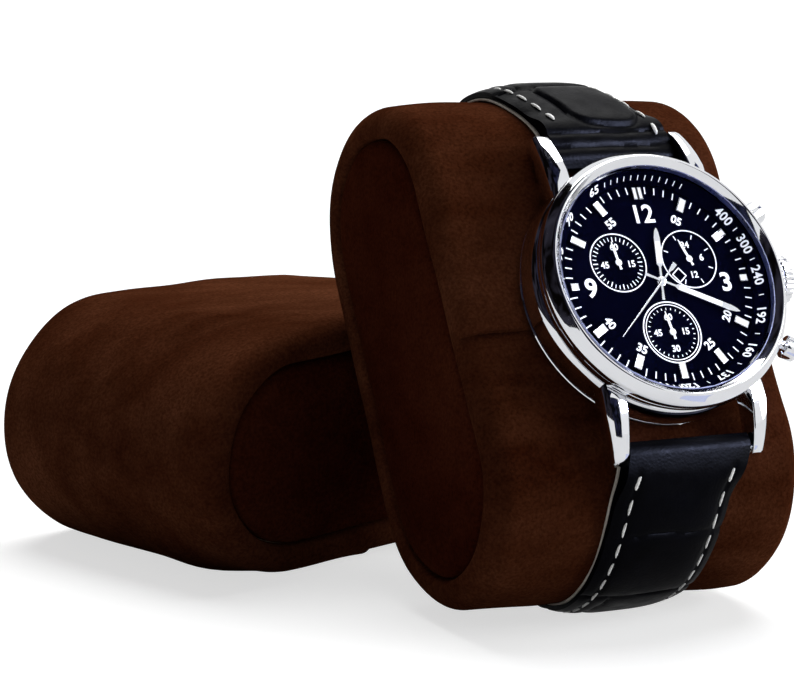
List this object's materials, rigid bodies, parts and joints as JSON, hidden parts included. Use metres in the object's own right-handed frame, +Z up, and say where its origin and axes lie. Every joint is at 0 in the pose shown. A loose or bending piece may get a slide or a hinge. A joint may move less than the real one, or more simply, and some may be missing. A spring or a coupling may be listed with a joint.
{
  "type": "watch cushion pair with wristwatch",
  "caption": "Brown suede watch cushions, one lying flat and one leaning on it, with a steel chronograph wristwatch on a black leather strap buckled round it",
  "frame": {"origin": "on the strap's flat that touches the table, under the leaning cushion's narrow edge", "axes": "+Z up; -Y towards the side the dial faces; +X along the leaning cushion's axis, towards the crown"},
  "size_m": [0.0919, 0.1195, 0.0775],
  "materials": {
    "suede": "dark brown suede, fine nap",
    "foam": "cream upholstery foam",
    "card": "grey-brown card",
    "polished_steel": "mirror-polished steel",
    "glass": "clear polished mineral glass",
    "rubber": "black rubber",
    "navy_dial": "navy lacquer, satin",
    "white_lacquer": "white lacquer",
    "movement_brass": "plated brass",
    "holder_plastic": "white moulded plastic",
    "leather": "black leather, semi-gloss, large scales",
    "lining": "matt lining leather"
  },
  "bodies": {
    "cushions": {"front_cushion_wrap": "suede", "front_cushion_foam": "foam", "front_cushion_left_board": "card", "front_cushion_right_board": "card", "front_cushion_left_cover": "suede", "front_cushion_right_cover": "suede", "rear_cushion_wrap": "suede", "rear_cushion_foam": "foam", "rear_cushion_left_board": "card", "rear_cushion_right_board": "card", "rear_cushion_left_cover": "suede", "rear_cushion_right_cover": "suede"},
    "watch": {"case_middle": "polished_steel", "case_back": "polished_steel", "bezel": "polished_steel", "button_cell": "polished_steel", "crown_tube": "polished_steel", "start_pusher_tube": "polished_steel", "reset_pusher_tube": "polished_steel", "spring_bar_12": "polished_steel", "spring_bar_6": "polished_steel", "buckle_bar": "polished_steel", "case_back_gasket": "rubber", "crystal_gasket": "rubber", "crystal": "glass", "dial": "navy_dial", "tachymeter_ring": "navy_dial", "movement": "movement_brass", "movement_holder": "holder_plastic", "hour_marker_01": "white_lacquer", "hour_marker_02": "white_lacquer", "hour_marker_03": "white_lacquer", "hour_marker_04": "white_lacquer", "hour_marker_05": "white_lacquer", "hour_marker_06": "white_lacquer", "hour_marker_07": "white_lacquer", "hour_marker_08": "white_lacquer", "hour_marker_09": "white_lacquer", "hour_marker_10": "white_lacquer", "hour_marker_11": "white_lacquer", "hour_marker_12": "white_lacquer", "strap_buckle_side": "leather", "strap_tail_side": "leather", "fixed_keeper": "leather", "strap_buckle_side_lining": "lining", "strap_tail_side_lining": "lining"},
    "minute_hand": {"minute_hand": "white_lacquer"},
    "hour_hand": {"hour_hand": "white_lacquer"},
    "chronograph_hand": {"chronograph_hand": "white_lacquer"},
    "small_seconds_hand": {"small_seconds_hand": "white_lacquer"},
    "minute_counter_hand": {"minute_counter_hand": "white_lacquer"},
    "day_hour_hand": {"day_hour_hand": "white_lacquer"},
    "winding_stem": {"winding_stem": "polished_steel"},
    "crown": {"crown": "polished_steel"},
    "start_pusher": {"start_pusher": "polished_steel"},
    "reset_pusher": {"reset_pusher": "polished_steel"},
    "buckle_frame": {"buckle_frame": "polished_steel"},
    "buckle_tongue": {"buckle_tongue": "polished_steel"},
    "free_keeper": {"free_keeper": "leather"}
  },
  "joints": [
    {"name": "watch_slide", "type": "slide", "parent": "cushions", "child": "watch", "axis": [1, 0, 0], "range_m": [0, 0.045]},
    {"name": "minute_turn", "type": "hinge", "parent": "watch", "child": "minute_hand", "pos_m": [0.0043, -0.00712, 0.04773], "axis": [0, 0.859, -0.512], "continuous": true},
    {"name": "hour_turn", "type": "hinge", "parent": "watch", "child": "hour_hand", "pos_m": [0.0043, -0.00712, 0.04773], "axis": [0, 0.859, -0.512], "continuous": true},
    {"name": "day_hour_turn", "type": "hinge", "parent": "watch", "child": "day_hour_hand", "pos_m": [0.0103, -0.00533, 0.05074], "axis": [0, 0.859, -0.512], "continuous": true},
    {"name": "chronograph_turn", "type": "hinge", "parent": "watch", "child": "chronograph_hand", "pos_m": [0.0043, -0.00712, 0.04773], "axis": [0, 0.859, -0.512], "continuous": true},
    {"name": "minute_counter_turn", "type": "hinge", "parent": "watch", "child": "minute_counter_hand", "pos_m": [0.0043, -0.01107, 0.04112], "axis": [0, 0.859, -0.512], "continuous": true},
    {"name": "small_seconds_turn", "type": "hinge", "parent": "watch", "child": "small_seconds_hand", "pos_m": [-0.0017, -0.00533, 0.05074], "axis": [0, 0.859, -0.512], "continuous": true},
    {"name": "crown_pull", "type": "slide", "parent": "watch", "child": "winding_stem", "axis": [1, 0, 0], "range_m": [0, 0.001]},
    {"name": "crown_turn", "type": "hinge", "parent": "winding_stem", "child": "crown", "pos_m": [0.0043, -0.01082, 0.04994], "axis": [1, 0, 0], "continuous": true},
    {"name": "start_push", "type": "slide", "parent": "watch", "child": "start_pusher", "axis": [-0.8829, -0.2404, -0.4033], "range_m": [0, 0.001], "stiffness_N_per_m": 1500},
    {"name": "reset_push", "type": "slide", "parent": "watch", "child": "reset_pusher", "axis": [-0.8829, 0.2404, 0.4033], "range_m": [0, 0.001], "stiffness_N_per_m": 1500},
    {"name": "buckle_turn", "type": "hinge", "parent": "watch", "child": "buckle_frame", "pos_m": [0.0043, 0.02935, 0.02914], "axis": [1, 0, 0], "range_deg": [0, 4]},
    {"name": "tongue_turn", "type": "hinge", "parent": "buckle_frame", "child": "buckle_tongue", "pos_m": [0.0043, 0.02935, 0.02914], "axis": [1, 0, 0], "range_deg": [0, 2]},
    {"name": "keeper_slide", "type": "slide", "parent": "watch", "child": "free_keeper", "axis": [0, 0.512, 0.859], "range_m": [-0.002, 0.0015]}
  ],
  "couplings": [
    {"joint": "hour_turn", "follows": "minute_turn", "ratio": 0.083333},
    {"joint": "day_hour_turn", "follows": "minute_turn", "ratio": 0.041667},
    {"joint": "minute_counter_turn", "follows": "chronograph_turn", "ratio": 0.033333}
  ]
}
